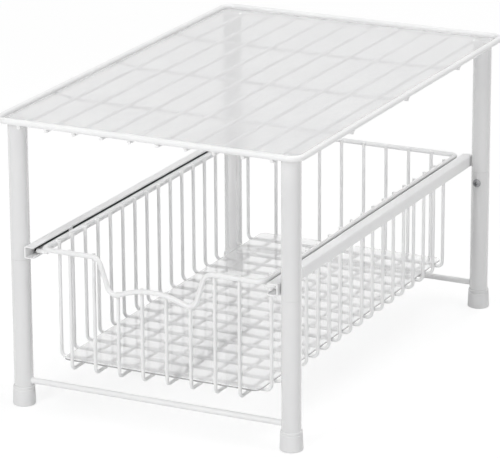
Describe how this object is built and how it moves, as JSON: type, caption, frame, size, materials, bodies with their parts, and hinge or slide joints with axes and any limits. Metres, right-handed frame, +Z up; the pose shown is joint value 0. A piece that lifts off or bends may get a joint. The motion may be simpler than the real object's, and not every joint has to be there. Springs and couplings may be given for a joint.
{
  "type": "under sink organizer",
  "caption": "Two-tier wire cabinet organizer: a lined wire shelf on four capped tube legs over a lined wire basket that slides forward on two channel rails.",
  "frame": {"origin": "on the floor at the middle of the footprint, between the four feet", "axes": "+X to the right seen from the front, +Y from the front to the back, +Z up; the basket slides towards -Y"},
  "size_m": [0.2716, 0.4182, 0.2445],
  "materials": {
    "white_coating": "satin white powder coat on steel wire and sheet",
    "leg_coating": "satin white powder coat on steel tube",
    "white_plastic": "matte white moulded plastic",
    "frosted_sheet": "frosted translucent plastic sheet",
    "screw_plating": "bright plated steel"
  },
  "bodies": {
    "frame": {"shelf_rim": "white_coating", "shelf_long_wires": "white_coating", "shelf_cross_wires": "white_coating", "shelf_liner": "frosted_sheet", "upper_leg_fl": "leg_coating", "upper_leg_fr": "leg_coating", "upper_leg_rl": "leg_coating", "upper_leg_rr": "leg_coating", "leg_plug_fl": "white_plastic", "leg_plug_fr": "white_plastic", "leg_plug_rl": "white_plastic", "leg_plug_rr": "white_plastic", "lower_leg_fl": "leg_coating", "lower_leg_fr": "leg_coating", "lower_leg_rl": "leg_coating", "lower_leg_rr": "leg_coating", "foot_fl": "white_plastic", "foot_fr": "white_plastic", "foot_rl": "white_plastic", "foot_rr": "white_plastic", "leg_screws": "screw_plating", "weld_nuts": "screw_plating", "base_wire_front": "white_coating", "base_wire_rear": "white_coating", "rail_left": "white_coating", "rail_right": "white_coating"},
    "basket": {"basket_rim": "white_coating", "basket_side_wires": "white_coating", "basket_end_wires": "white_coating", "basket_liner": "frosted_sheet", "runner_left": "white_coating", "runner_right": "white_coating"}
  },
  "joints": [
    {"name": "basket_slide", "type": "slide", "parent": "frame", "child": "basket", "axis": [0, -1, 0], "range_m": [0, 0.318]}
  ]
}
